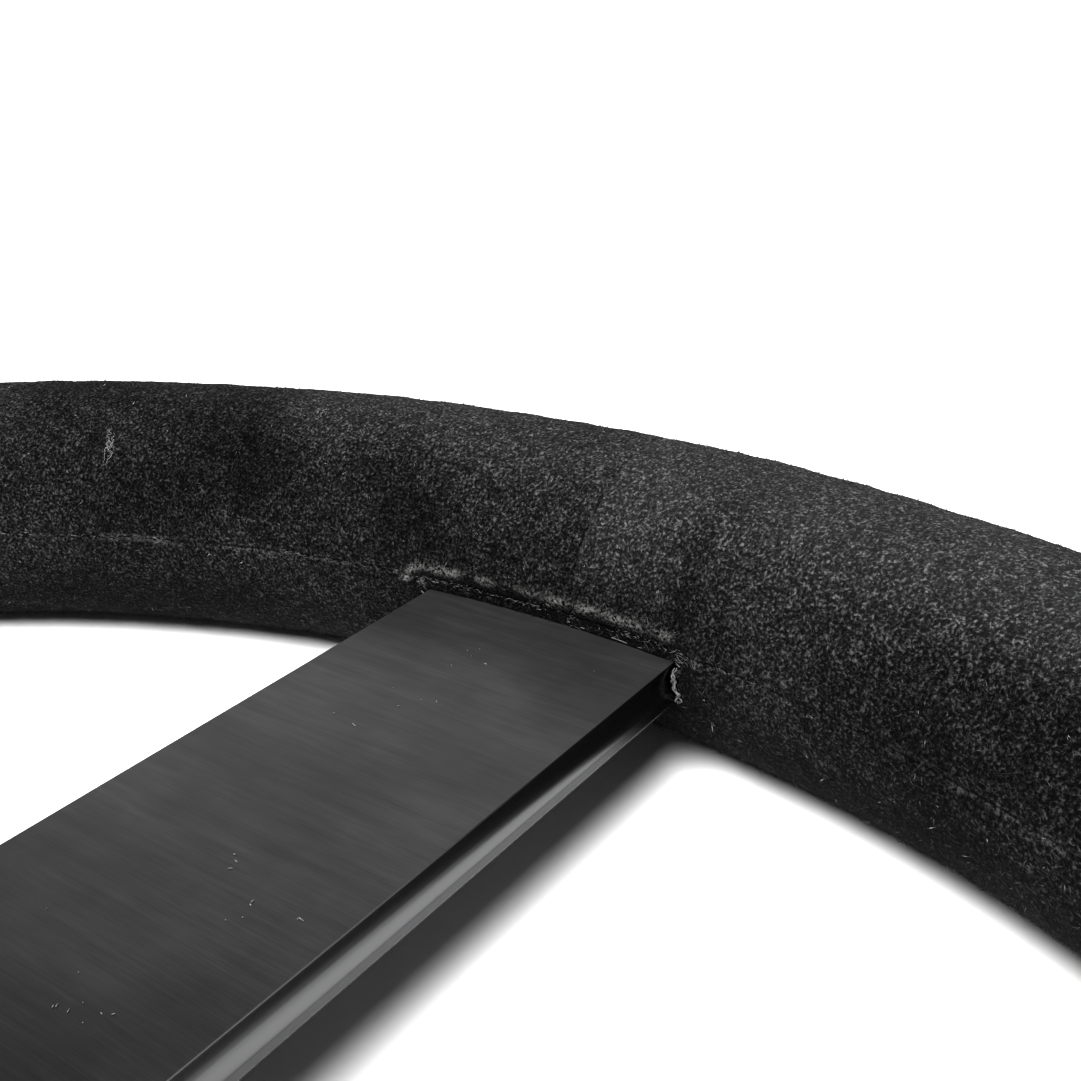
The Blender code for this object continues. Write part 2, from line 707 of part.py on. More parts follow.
def make_terminal(name, x):
    """A 6.3 mm blade, standing on the horn's base in the coupler's bore."""
    half_thick, half_wide, foot = 0.4 * MM, 3.15 * MM, PLATE_TOP + GAP
    shoulder, tip = foot + 6.6 * MM, foot + 8.0 * MM
    bm = bmesh.new()
    outline = [(-half_wide, foot), (half_wide, foot), (half_wide, shoulder), (0.55 * half_wide, tip)]
    outline += [(-0.55 * half_wide, tip), (-half_wide, shoulder)]
    face = bm.faces.new([bm.verts.new((x - half_thick, y, z)) for y, z in outline])
    grown = bmesh.ops.extrude_face_region(bm, geom=[face])
    lifted = [v for v in grown["geom"] if isinstance(v, bmesh.types.BMVert)]
    bmesh.ops.translate(bm, verts=lifted, vec=(2 * half_thick, 0, 0))
    add_object(name, bm, "brass")


def main():
    for thing in list(bpy.data.objects):
        bpy.data.objects.remove(thing)
    make_plate(make_grip())
    make_coupler()
    make_balls()
    make_collar()
    make_adapter()
    make_screws()
    make_horn()


main()
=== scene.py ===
from math import cos, pi, radians, sin, sqrt

import bmesh
import bpy
import numpy as np
from mathutils import Matrix, Vector


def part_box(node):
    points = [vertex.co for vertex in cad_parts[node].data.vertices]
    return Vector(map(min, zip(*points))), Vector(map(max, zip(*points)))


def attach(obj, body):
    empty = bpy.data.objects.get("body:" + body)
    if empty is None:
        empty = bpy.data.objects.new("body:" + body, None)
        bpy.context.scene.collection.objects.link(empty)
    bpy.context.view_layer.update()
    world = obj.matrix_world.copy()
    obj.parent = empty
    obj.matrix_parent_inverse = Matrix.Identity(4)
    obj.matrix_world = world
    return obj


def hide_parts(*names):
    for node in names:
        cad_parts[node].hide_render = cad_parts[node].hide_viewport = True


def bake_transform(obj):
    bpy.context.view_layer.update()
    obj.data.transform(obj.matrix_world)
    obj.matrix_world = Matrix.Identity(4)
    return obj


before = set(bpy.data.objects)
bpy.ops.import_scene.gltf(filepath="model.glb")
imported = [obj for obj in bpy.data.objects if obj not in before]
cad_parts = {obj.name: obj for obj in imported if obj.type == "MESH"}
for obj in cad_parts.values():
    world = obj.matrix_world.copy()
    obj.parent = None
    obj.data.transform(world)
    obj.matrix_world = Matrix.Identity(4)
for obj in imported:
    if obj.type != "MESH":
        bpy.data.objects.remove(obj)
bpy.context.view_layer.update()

MM = 0.001

# The rim, from the frame: lowest and highest corners of one quarter of the wrap.
wrap_low, wrap_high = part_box("wrap_upper_left")
GRIP_HALF_WIDTH = 14.4 * MM
GRIP_HALF_HEIGHT = (wrap_high.z - wrap_low.z) / 2
RIM_RADIUS = wrap_high.x - GRIP_HALF_WIDTH
INNER_RADIUS = RIM_RADIUS - GRIP_HALF_WIDTH
RIM_Z = GRIP_HALF_HEIGHT
plate_low, plate_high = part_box("spoke_plate")
PLATE_TOP, PLATE_BOTTOM = plate_high.z, plate_low.z
SPOKE_HALF_WIDTH = 15.15 * MM
SPOKE_ANGLES = (radians(-90), radians(0), radians(180))

# ---------------------------------------------------------------- camera and light

# The camera before it swings round the wheel's axis: its place in rim radii, angles in degrees, lens in mm.
CAMERA_PLACE = (0.5443, -0.0710, 0.4187)
CAMERA_PITCH, CAMERA_ROLL, CAMERA_TURN = 24.4, -2.8, -142.81
CAMERA_LENS = 44.28

EXPOSURE, GAMMA = 0.35, 0.82
BACKDROP = 1.1
WALL_TONES = ((0.48, 1.30), (0.60, 0.66), (0.72, 0.14))  # height from 0 (down) to 1 (up), brightness
FILL = 0.16
SOFTBOX_WAY = (-0.13, 0.62, 1.0)  # from the wheel to the softbox
SOFTBOX_SPREAD = 36  # degrees
SOFTBOX_STRENGTH = 7.4
FLOOR_SIZE = 40


def place_camera():
    """A 44 mm lens close over the rim, on the column side, looking over the lower spoke."""
    middle = Vector(CAMERA_PLACE) * RIM_RADIUS
    pitch, roll, turn = radians(CAMERA_PITCH), radians(CAMERA_ROLL), radians(CAMERA_TURN)
    forward = Vector((0, cos(pitch), -sin(pitch)))
    level_right, level_up = Vector((1, 0, 0)), Vector((0, sin(pitch), cos(pitch)))
    right = level_right * cos(roll) + level_up * sin(roll)
    up = level_up * cos(roll) - level_right * sin(roll)
    axes = Matrix((right, up, -forward)).transposed()
    swing = Matrix.Rotation(turn, 3, "Z")
    data = bpy.data.cameras.new("camera")
    data.sensor_width = 36
    data.lens = CAMERA_LENS
    data.clip_start = 0.004
    data.clip_end = 50
    camera = bpy.data.objects.new("camera", data)
    place = Matrix.Translation(swing @ middle + Vector((0, 0, RIM_Z)))
    camera.matrix_world = place @ (swing @ axes).to_4x4()
    bpy.context.scene.collection.objects.link(camera)
    bpy.context.scene.camera = camera


def soft_sun(name, way, spread, strength):
    """An even light from one way, as from a very large softbox that looks spread degrees wide."""
    data = bpy.data.lights.new(name, "SUN")
    data.angle = radians(spread)
    data.energy = strength
    light = bpy.data.objects.new(name, data)
    light.rotation_euler = (-Vector(way)).to_track_quat("-Z", "Y").to_euler()
    bpy.context.scene.collection.objects.link(light)


def make_studio():
    """An even white backdrop, a wide softbox, and a pale floor."""
    scene = bpy.context.scene
    scene.view_settings.view_transform = "Standard"
    scene.view_settings.exposure = EXPOSURE
    scene.view_settings.gamma = GAMMA
    world = bpy.data.worlds.new("studio")
    scene.world = world
    world.use_nodes = True
    nodes, links = world.node_tree.nodes, world.node_tree.links
    backdrop = nodes["Background"]
    backdrop.inputs["Color"].default_value = (1.0, 1.0, 1.0, 1.0)
    backdrop.inputs["Strength"].default_value = BACKDROP

    # reflections see walls that are bright near the floor and dim overhead; diffuse light gets a weak fill
    height = nodes.new("ShaderNodeSeparateXYZ")
    links.new(nodes.new("ShaderNodeTexCoord").outputs["Generated"], height.inputs[0])
    walls = nodes.new("ShaderNodeValToRGB")
    links.new(height.outputs[2], walls.inputs[0])
    stripe = walls.color_ramp.elements
    stripe.new(0.5)
    for element, (place, grey) in zip(stripe, WALL_TONES):
        element.position = place
        element.color = (grey, grey, grey, 1)
    room = nodes.new("ShaderNodeBackground")
    links.new(walls.outputs[0], room.inputs["Color"])
    fill = nodes.new("ShaderNodeBackground")
    fill.inputs["Strength"].default_value = FILL
    path = nodes.new("ShaderNodeLightPath")
    unseen = nodes.new("ShaderNodeMixShader")
    links.new(path.outputs["Is Diffuse Ray"], unseen.inputs[0])
    links.new(room.outputs[0], unseen.inputs[1])
    links.new(fill.outputs[0], unseen.inputs[2])
    mix = nodes.new("ShaderNodeMixShader")
    links.new(path.outputs["Is Camera Ray"], mix.inputs[0])
    links.new(unseen.outputs[0], mix.inputs[1])
    links.new(backdrop.outputs[0], mix.inputs[2])
    links.new(mix.outputs[0], nodes["World Output"].inputs["Surface"])
    soft_sun("softbox", SOFTBOX_WAY, SOFTBOX_SPREAD, SOFTBOX_STRENGTH)
    make_floor()


def make_floor():
    bpy.ops.mesh.primitive_plane_add(size=FLOOR_SIZE)
    floor = bpy.context.object
    floor.name = "floor"
    material = bpy.data.materials.new("floor")
    material.use_nodes = True
    shader = material.node_tree.nodes["Principled BSDF"]
    shader.inputs["Base Color"].default_value = (0.9, 0.9, 0.9, 1)
    shader.inputs["Roughness"].default_value = 0.9
    floor.data.materials.append(material)


# ---------------------------------------------------------------- materials


class Nodes:
    """A short way to write a material's nodes. Lengths are in metres, in the object's own coordinates."""

    def __init__(self, name):
        self.material = bpy.data.materials.new(name)
        self.material.use_nodes = True
        self.tree = self.material.node_tree
        self.shader = self.tree.nodes["Principled BSDF"]
        self.where = self.tree.nodes.new("ShaderNodeTexCoord").outputs["Object"]

    def put(self, socket, value):
        if isinstance(value, bpy.types.NodeSocket):
            self.tree.links.new(value, socket)
        else:
            socket.default_value = value

    def node(self, kind, output=0, settings=None, **inputs):
        """A node and one of its outputs. An input is named, or i0, i1 and so on for its number."""
        made = self.tree.nodes.new("ShaderNode" + kind)
        for key, value in (settings or {}).items():
            setattr(made, key, value)
        for key, value in inputs.items():
            numbered = key[0] == "i" and key[1:].isdigit()
            self.put(made.inputs[int(key[1:]) if numbered else key], value)
        return made.outputs[output]

    def math(self, operation, a, b=0.0):
        return self.node("Math", settings={"operation": operation}, i0=a, i1=b)

    def noise(self, size, detail=2.0, rough=0.55, where=None, stretch=(1, 1, 1), distortion=0.0):
        """Noise from 0 to 1 with features of about size, longer along an axis by its stretch."""
        scaled = self.node(
            "Mapping",
            Vector=self.where if where is None else where,
            Scale=tuple(1 / (size * s) for s in stretch),
        )
        return self.node(
            "TexNoise", Vector=scaled, Scale=1.0, Detail=detail, Roughness=rough, Distortion=distortion
        )

    def ramp(self, value, *stops):
        """stops are (place, grey or colour) from low to high."""
        made = self.tree.nodes.new("ShaderNodeValToRGB")
        self.tree.links.new(value, made.inputs[0])
        stripe = made.color_ramp.elements
        while len(stripe) < len(stops):
            stripe.new(0.5)
        for element, (place, colour) in zip(stripe, stops):
            element.position = place
            element.color = (*colour, 1) if isinstance(colour, tuple) else (colour, colour, colour, 1)
        return made.outputs["Color"]

    def mix(self, share, a, b, kind="MIX"):
        made = self.tree.nodes.new("ShaderNodeMix")
        made.data_type = "RGBA"
        made.blend_type = kind
        self.put(made.inputs["Factor"], share)
        for key, value in (("A", a), ("B", b)):
            socket = [s for s in made.inputs if s.name == key and s.type == "RGBA"][0]
            self.put(socket, (*value, 1) if isinstance(value, tuple) and len(value) == 3 else value)
        return [s for s in made.outputs if s.type == "RGBA"][0]

    def attribute(self, name):
        return self.node("Attribute", output=2, settings={"attribute_name": name})

    def bump(self, height, distance, strength=1.0, under=None):
        made = self.tree.nodes.new("ShaderNodeBump")
        made.inputs["Distance"].default_value = distance
        made.inputs["Strength"].default_value = strength
        self.tree.links.new(height, made.inputs["Height"])
        if under is not None:
            self.tree.links.new(under, made.inputs["Normal"])
        return made.outputs[0]

    def round_edges(self, radius):
        made = self.tree.nodes.new("ShaderNodeBevel")
        made.samples = 4
        made.inputs["Radius"].default_value = radius
        return made.outputs[0]

    def set(self, **inputs):
        names = {
            "Base": "Base Color",
            "Spec": "Specular IOR Level",
            "SheenW": "Sheen Weight",
            "SheenR": "Sheen Roughness",
            "SheenT": "Sheen Tint",
        }
        for key, value in inputs.items():
            self.put(self.shader.inputs[names.get(key, key)], value)
        return self.material


# The lean that the plate's edge is shaded with, in place of its mesh's own: the depth through the sheet, from
# 0 to 1, and how far the edge faces up (positive) or down there.
EDGE_LEAN = (
    (0.0, 0.46), (0.25, 0.42), (0.50, 0.35), (0.63, 0.24),
    (0.75, 0.09), (0.87, -0.10), (1.0, -0.80),
)

# The suede's mottling, from the dark hollows between its fibres to their lit tips: place on the ramp, grey.
SUEDE_TONES = (
    (0.35, 0.0012), (0.42, 0.003), (0.47, 0.006), (0.50, 0.010),
    (0.54, 0.018), (0.59, 0.034), (0.65, 0.08),
)
SUEDE_LEVEL = 0.87
FRAYED_GREY = (0.19, 0.187, 0.183)


def suede_material():
    """Suede that the mesh's tone attribute makes lighter or darker, painted shade and sheen among it, and its
    fray attribute makes pale.
    """
    n = Nodes("suede")
    grain = n.noise(0.31 * MM, 2, 0.6, distortion=0.5)
    clumps = n.noise(1.1 * MM, 2, 0.5, distortion=0.8)
    strokes = n.noise(9 * MM, 3, 0.6, distortion=0.6)
    tone = n.attribute("tone")
    fray = n.attribute("fray")
    mottled = n.math("ADD", n.math("MULTIPLY", grain, 0.8), n.math("MULTIPLY", clumps, 0.2))
    dark = n.ramp(mottled, *SUEDE_TONES)
    shift = n.math("ADD", tone, n.math("MULTIPLY", n.math("SUBTRACT", strokes, 0.5), 0.7))
    level = n.math("MINIMUM", n.math("MAXIMUM", n.math("ADD", SUEDE_LEVEL, shift), 0.25), 1.45)
    toned = n.mix(1.0, dark, n.node("CombineColor", Red=level, Green=level, Blue=level), "MULTIPLY")
    # where the tone is raised, by the suede's own tone or by its painted sheen, a flat grey is added
    haze = n.math("MULTIPLY", n.math("MAXIMUM", shift, 0.0), 0.009)
    hazy = n.mix(1.0, toned, n.node("CombineColor", Red=haze, Green=haze, Blue=haze), "ADD")
    patchy = n.math("MULTIPLY", fray, n.node("MapRange", Value=grain, i1=0.38, i2=0.58))
    frayed = n.mix(patchy, hazy, FRAYED_GREY)
    height = n.math("ADD", grain, n.math("MULTIPLY", clumps, 0.8))
    return n.set(
        Base=frayed,
        Roughness=0.95,
        Spec=0.03,
        SheenW=0.02,
        SheenR=0.5,
        SheenT=(0.8, 0.8, 0.82, 1),
        Normal=n.bump(height, 0.35 * MM, 1.0),
    )


def nap_material():
    n = Nodes("nap_fibres")
    tint = n.ramp(n.noise(0.9 * MM, 2), (0.38, 0.008), (0.52, 0.022), (0.66, 0.09), (0.74, 0.40))
    return n.set(Base=tint, Roughness=0.9, Spec=0.05, SheenW=0.02, SheenR=0.5)


def fluff_material(name, low, high):
    """Loose fibre or thread, mottled between two greys."""
    n = Nodes(name)
    tint = n.ramp(n.noise(0.5 * MM), (0.35, low), (0.65, high))
    return n.set(Base=tint, Roughness=0.8)


def brushed_black_material():
    """Black anodised sheet: brushed along X, with painted shade that darkens its faces towards the hub, and a
    glossy edge.
    """
    n = Nodes("brushed_black")
    fine = n.noise(0.12 * MM, 3, 0.6, stretch=(50, 1, 1))
    coarse = n.noise(1.1 * MM, 3, 0.6, stretch=(11, 1, 1))
    cloud = n.noise(12 * MM, 3, 0.6)
    lines = n.math("ADD", n.math("MULTIPLY", fine, 0.5), n.math("MULTIPLY", coarse, 0.5))
    mottle = n.math("ADD", n.math("MULTIPLY", lines, 0.6), n.math("MULTIPLY", cloud, 0.4))
    facing = n.tree.nodes.new("ShaderNodeSeparateXYZ")
    n.tree.links.new(n.node("NewGeometry", output=1), facing.inputs[0])
    flat = n.math("GREATER_THAN", n.math("ABSOLUTE", facing.outputs[2]), 0.93)
    face = n.ramp(mottle, (0.38, 0.040), (0.5, 0.054), (0.62, 0.072))
    # painted shade: the faces grow darker towards the hub
    radius = n.node("VectorMath", output=1, settings={"operation": "LENGTH"}, i0=n.where)
    light = n.node("MapRange", Value=radius, i1=58 * MM, i2=118 * MM, i3=0.50, i4=1.05)
    shaded = n.mix(1.0, face, n.node("CombineColor", Red=light, Green=light, Blue=light), "MULTIPLY")
    colour = n.mix(flat, (0.13, 0.13, 0.132), shaded)
    metal = n.math("SUBTRACT", 1.0, n.math("MULTIPLY", flat, 0.35))
    rough = n.math("ADD", 0.33, n.math("MULTIPLY", n.math("ADD", lines, cloud), 0.07))
    roughness = n.math("ADD", 0.25, n.math("MULTIPLY", flat, n.math("SUBTRACT", rough, 0.25)))
    brushed = n.bump(lines, 0.008 * MM, 0.35)

    # the edge is shaded with a lean that follows the depth below the top face
    place = n.tree.nodes.new("ShaderNodeSeparateXYZ")
    n.tree.links.new(n.where, place.inputs[0])
    depth = n.math("DIVIDE", n.math("SUBTRACT", PLATE_TOP, place.outputs[2]), PLATE_TOP - PLATE_BOTTOM)
    lean = n.ramp(depth, *((d, 0.5 + t / 2) for d, t in EDGE_LEAN))
    up = n.math("SUBTRACT", n.math("MULTIPLY", lean, 2.0), 1.0)
    rounded = n.node("CombineXYZ", X=facing.outputs[0], Y=facing.outputs[1], Z=up)
    edge = n.node("VectorMath", settings={"operation": "NORMALIZE"}, i0=rounded)
    normal = n.node("Mix", output=1, settings={"data_type": "VECTOR"}, i0=flat, i4=edge, i5=brushed)
    return n.set(Base=colour, Metallic=metal, Roughness=roughness, Normal=normal)


def turned_material(name, colour, rough, pitch=0.12 * MM, depth=0.004 * MM):
    """Metal turned on a lathe about the wheel's axis."""
    n = Nodes(name)
    split = n.tree.nodes.new("ShaderNodeSeparateXYZ")
    n.tree.links.new(n.where, split.inputs[0])
    x, y, z = split.outputs
    radius = n.math("SQRT", n.math("ADD", n.math("MULTIPLY", x, x), n.math("MULTIPLY", y, y)))
    turn = n.math("MULTIPLY", n.math("ARCTAN2", y, x), 3 * MM)
    polar = n.node("CombineXYZ", X=radius, Y=z, Z=turn)
    lines = n.noise(pitch, 3, 0.7, where=polar)
    cloud = n.noise(12 * MM, 2)
    low = tuple(0.82 * c for c in colour)
    tint = n.ramp(lines, (0.3, low), (0.7, colour))
    roughness = n.math("ADD", rough - 0.08, n.math("MULTIPLY", n.math("ADD", lines, cloud), 0.08))
    normal = n.bump(lines, depth, 0.6, n.round_edges(0.3 * MM))
    return n.set(Base=tint, Metallic=1.0, Roughness=roughness, Normal=normal)


def metal_material(name, colour, rough, grain=0.4 * MM):
    """Plain metal with faint pits."""
    n = Nodes(name)
    pits = n.noise(grain, 3, 0.6)
    low = tuple(0.78 * c for c in colour)
    tint = n.ramp(pits, (0.3, low), (0.7, colour))
    roughness = n.math("ADD", rough - 0.06, n.math("MULTIPLY", pits, 0.14))
    normal = n.bump(pits, 0.01 * MM, 0.5, n.round_edges(0.15 * MM))
    return n.set(Base=tint, Metallic=1.0, Roughness=roughness, Normal=normal)


def plastic_material(name, colour, rough, grain=0.35 * MM, depth=0.03 * MM):
    """Plastic, rubber or foam with a fine moulded texture."""
    n = Nodes(name)
    cells = n.noise(grain, 3, 0.6)
    low = tuple(0.8 * c for c in colour)
    tint = n.ramp(cells, (0.35, low), (0.65, colour))
    roughness = n.math("ADD", rough - 0.05, n.math("MULTIPLY", cells, 0.12))
    normal = n.bump(cells, depth, 0.5, n.round_edges(0.3 * MM))
    return n.set(Base=tint, Roughness=roughness, Normal=normal)


# ---------------------------------------------------------------- helpers


def add_piece(name, mesh, finish):
    mesh.materials.append(MATERIALS[finish])
    piece = bpy.data.objects.new(name, mesh)
    bpy.context.scene.collection.objects.link(piece)
    return piece


def add_to_wheel(name, mesh, finish):
    """A piece of suede, fibre or thread that rides on the wheel."""
    piece = add_piece(name, mesh, finish)
    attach(piece, "wheel")
    return piece


def smooth_noise(points, size, seed, waves=36):
    """A smooth random field, about 1 high, with features of about size: a sum of seeded waves."""
    random = np.random.default_rng(seed)
    way = random.normal(size=(waves, 3))
    way /= np.linalg.norm(way, axis=1)[:, None]
    pace = 2 * pi / size * random.uniform(0.5, 1.2, waves)
    start = random.uniform(0, 2 * pi, waves)
    field = np.zeros(len(points))
    for k in range(waves):
        field += np.cos(points @ (way[k] * pace[k]) + start[k])
    return field / sqrt(waves / 2)


def hump(distance, place, width):
    """1 at place, falling to nothing about twice the width away."""
    return np.exp(-(((distance - place) / width) ** 2))


def ramp_up(value, low, high):
    """0 below low, 1 above high, smooth between."""
    t = np.clip((value - low) / (high - low), 0, 1)
    return t * t * (3 - 2 * t)


def spaced_out(length, edge, fine, coarse):
    """Places from 0 to length, fine apart within edge of either end and coarse apart between."""
    ends = np.arange(0, edge, fine)
    between = np.linspace(edge, length - edge, max(2, round((length - 2 * edge) / coarse)))
    return np.concatenate([ends, between, length - ends[::-1]])


# ---------------------------------------------------------------- the suede wrap

SEAM_ANGLE = pi - radians(5.0)  # on the grip's section, from the outer side over the top
SEAM_HALF_GAP = 0.03 * MM
JOINT_HALF_GAP = 0.02 * MM
JOINT_OFFSET = -3.3 * MM  # from the middle of the spoke to the cross joint, along the rim
SKIN = 1.1 * MM
SLOT_SIDE_GAP = 0.42 * MM  # between the spoke's side and the wrap's slot
SLOT_RISE_GAP = 0.15 * MM  # between the spoke's faces and the wrap's slot
PAINTED_SHEEN_TURN = radians(-125)  # where round the rim the painted sheen on the top is strongest

# The quarters of the wrap: their order round the rim from the spoke at 0 degrees, and how light each one is.
QUARTERS = {
    "upper_left": (0, 0.0),
    "upper_right": (1, 0.1),
    "lower_right": (2, 0.15),
    "lower_left": (3, 0.0),
}


def grip_surface(turn, section, lift):
    """Points on the grip: turn round the rim, section round the grip, lift outwards."""
    normal_r, normal_z = np.cos(section) / GRIP_HALF_WIDTH, np.sin(section) / GRIP_HALF_HEIGHT
    size = np.hypot(normal_r, normal_z)
    radius = RIM_RADIUS + GRIP_HALF_WIDTH * np.cos(section) + lift * normal_r / size
    height = RIM_Z + GRIP_HALF_HEIGHT * np.sin(section) + lift * normal_z / size
    return np.stack([radius * np.cos(turn), radius * np.sin(turn), height], -1)


def spoke_distance(points):
    """Distance from the nearest spoke's slot on the grip's inner side, negative within the slot."""
    nearest = np.full(len(points), 1.0)
    for angle in SPOKE_ANGLES:
        along = points[:, 0] * cos(angle) + points[:, 1] * sin(angle)
        aside = -points[:, 0] * sin(angle) + points[:, 1] * cos(angle)
        out_side = np.abs(aside) - SPOKE_HALF_WIDTH - SLOT_SIDE_GAP
        out_high = np.maximum(
            points[:, 2] - PLATE_TOP - SLOT_RISE_GAP, PLATE_BOTTOM - SLOT_RISE_GAP - points[:, 2]
        )
        outside = np.hypot(np.maximum(out_side, 0), np.maximum(out_high, 0))
        inside = np.minimum(np.maximum(out_side, out_high), 0)
        here = (along > 0) & (along < RIM_RADIUS)
        nearest = np.where(here, np.minimum(nearest, outside + inside), nearest)
    return nearest


def joint_wander(flat, section):
    """How far beside the middle of its spoke a cross joint runs: nearer to it at the slot."""
    wander = JOINT_OFFSET + 1.2 * MM * hump(section, radians(177), radians(14))
    wander -= 0.5 * MM * hump(section, radians(80), radians(25))
    wander += 0.25 * MM * smooth_noise(flat * [0, 0, 1], 9 * MM, 5)
    return wander


def wrap_lift(flat, seam, joint, slot, clear, far_side):
    """How far the skin stands off the grip: waves, edges that curl in, a tuck and a lip at each slot."""
    lift = 0.045 * MM * smooth_noise(flat, 26 * MM, 11)
    lift += 0.035 * MM * smooth_noise(flat, 5 * MM, 12)
    lift += 0.025 * MM * smooth_noise(flat, 1.6 * MM, 13)
    seam_curl = 0.12 * MM * hump(seam, 0, 0.26 * MM) - 0.04 * MM * hump(seam, 0.8 * MM, 0.5 * MM)
    joint_curl = 0.07 * MM * hump(joint, 0, 0.30 * MM) - 0.03 * MM * hump(joint, 0.9 * MM, 0.6 * MM)
    lift -= seam_curl * clear + joint_curl
    lift -= 3.2 * MM * ramp_up(-slot, 0.0, 0.5 * MM)
    over = ramp_up(flat[:, 2] - PLATE_TOP, 0.0, 0.6 * MM)
    lift -= (0.06 + 0.52 * over) * MM * (1 - ramp_up(slot, -0.2 * MM, 1.9 * MM))
    lift += 0.34 * MM * hump(slot, 2.5 * MM, 0.7 * MM) * over
    lift += 0.10 * MM * hump(far_side, 2.0 * MM, 2.0 * MM)
    return lift


def wrap_fray(flat, seam, joint, slot, clear):
    """How frayed and pale the skin is: along its edges, and on the lip over each slot."""
    rough_edge = 0.5 + 0.5 * smooth_noise(flat, 3.5 * MM, 21)
    worn = np.clip(0.5 + 0.9 * smooth_noise(flat, 22 * MM, 22), 0, 1)
    fray = 0.28 * hump(seam, 0.18 * MM, 0.20 * MM) * np.clip(rough_edge, 0, 1) * clear * worn
    fray += 0.10 * hump(joint, 0.2 * MM, 0.3 * MM) * np.clip(rough_edge - 0.2, 0, 1)
    above = (flat[:, 2] > PLATE_TOP + 0.5 * MM) * (slot > 0.5 * MM)
    lip = hump(slot, 2.4 * MM, 0.45 * MM) * above * np.clip(0.2 + 0.8 * rough_edge, 0, 1)
    fray += 0.80 * lip
    return fray


def wrap_tone_and_painted_light(flat, turn, section, slot, patch_side, patched):
    """How light the suede is: clouds, a lighter patch where the nap is brushed, painted shade round the
    slots, below and on the sides, and painted sheen on the top.
    """
    shade = 0.14 * smooth_noise(flat, 45 * MM, 31) + 0.10 * smooth_noise(flat, 14 * MM, 32)
    # painted shade in the tuck round each slot and on the grip beside each spoke
    shade -= 0.50 * (1 - ramp_up(slot, 1.2 * MM, 2.4 * MM))
    shade -= 0.25 * (1 - ramp_up(slot, 2.0 * MM, 12.0 * MM))
    if patched:
        on_top = ramp_up(np.sin(section), -0.1, 0.5)
        patch = 1 - ramp_up(patch_side + 1.5 * MM * smooth_noise(flat, 9 * MM, 34), 10.0 * MM, 16.0 * MM)
        shade += (0.42 * patch - 0.22 * hump(patch_side, 15.5 * MM, 1.6 * MM)) * on_top
    # painted shade on the underside of the grip
    shade -= 0.30 * ramp_up(-np.sin(section), 0.0, 0.45)
    # painted sheen on the top of the grip, strongest where the rim faces one way round, with painted shade on
    # its sides there; brushed is the painted sheen's strength
    painted_sheen_facing = ramp_up(np.cos(turn - PAINTED_SHEEN_TURN), 0.50, 0.98)
    brushed = 0.12 + 1.15 * painted_sheen_facing
    shade += brushed * hump(np.sin(section), 1.02, 0.24)
    shade -= 0.28 * painted_sheen_facing * (1 - ramp_up(np.sin(section), 0.2, 0.7))
    return shade


def make_wrap(name, quarter, tone):
    """A quarter of the suede wrap: a skin whose edges curl in at the seams, tucked in round the spokes."""
    length = pi / 2 * RIM_RADIUS
    girth = 2 * pi * (GRIP_HALF_WIDTH + GRIP_HALF_HEIGHT) / 2
    along = spaced_out(length - 2 * JOINT_HALF_GAP, edge=21 * MM, fine=0.42 * MM, coarse=1.0 * MM)
    across = spaced_out(girth - 2 * SEAM_HALF_GAP, edge=5 * MM, fine=0.28 * MM, coarse=0.75 * MM)
    along, across = along + JOINT_HALF_GAP, across + SEAM_HALF_GAP
    u, v = (grid.ravel() for grid in np.meshgrid(along, across, indexing="ij"))
    turn = quarter * pi / 2 + u / RIM_RADIUS
    section = SEAM_ANGLE + v / girth * 2 * pi
    near_end = 1 - ramp_up(np.minimum(u, length - u), 0, 28 * MM)
    turn = turn + joint_wander(grip_surface(turn, section, 0.0), section) * near_end / RIM_RADIUS
    flat = grip_surface(turn, section, 0.0)

    seam = np.minimum(v, girth - v) - SEAM_HALF_GAP
    joint = np.minimum(u, length - u) - JOINT_HALF_GAP
    slot = spoke_distance(flat)
    clear = ramp_up(slot, 0.8 * MM, 4.0 * MM)
    patched = quarter in (0, 2)
    from_start, from_end = u, length - u
    patch_side, far_side = (from_end, from_start) if patched else (from_start, from_end)
    lift = wrap_lift(flat, seam, joint, slot, clear, far_side)
    fray = wrap_fray(flat, seam, joint, slot, clear)
    shade = tone + wrap_tone_and_painted_light(flat, turn, section, slot, patch_side, patched)
    points = grip_surface(turn, section, lift)

    rows, columns = len(along), len(across)
    index = np.arange(rows * columns).reshape(rows, columns)
    quads = np.stack([index[:-1, :-1], index[1:, :-1], index[1:, 1:], index[:-1, 1:]], -1).reshape(-1, 4)
    mesh = bpy.data.meshes.new(name)
    mesh.from_pydata(points.tolist(), [], quads.tolist())
    mesh.update()
    mesh.shade_smooth()
    # the tone attribute holds the suede's own tone together with its painted shade and sheen
    for key, values in (("fray", fray), ("tone", shade)):
        layer = mesh.attributes.new(key, "FLOAT", "POINT")
        layer.data.foreach_set("value", np.clip(values, -2, 2).astype(np.float32))
    piece = add_to_wheel(name, mesh, "suede")
    skin = piece.modifiers.new("skin", "SOLIDIFY")
    skin.thickness = SKIN
    skin.offset = -1.0
    return piece, points, quads


def outward_normals(points, quads):
    """Each quad's direction outwards, and its area."""
    corners = points[quads]
    across = np.cross(corners[:, 2] - corners[:, 0], corners[:, 3] - corners[:, 1])
    size = np.linalg.norm(across, axis=1)
    return across / np.maximum(size, 1e-12)[:, None], size / 2


def unit(vectors):
    """The rows, each made one long."""
    return vectors / np.maximum(np.linalg.norm(vectors, axis=1), 1e-12)[:, None]


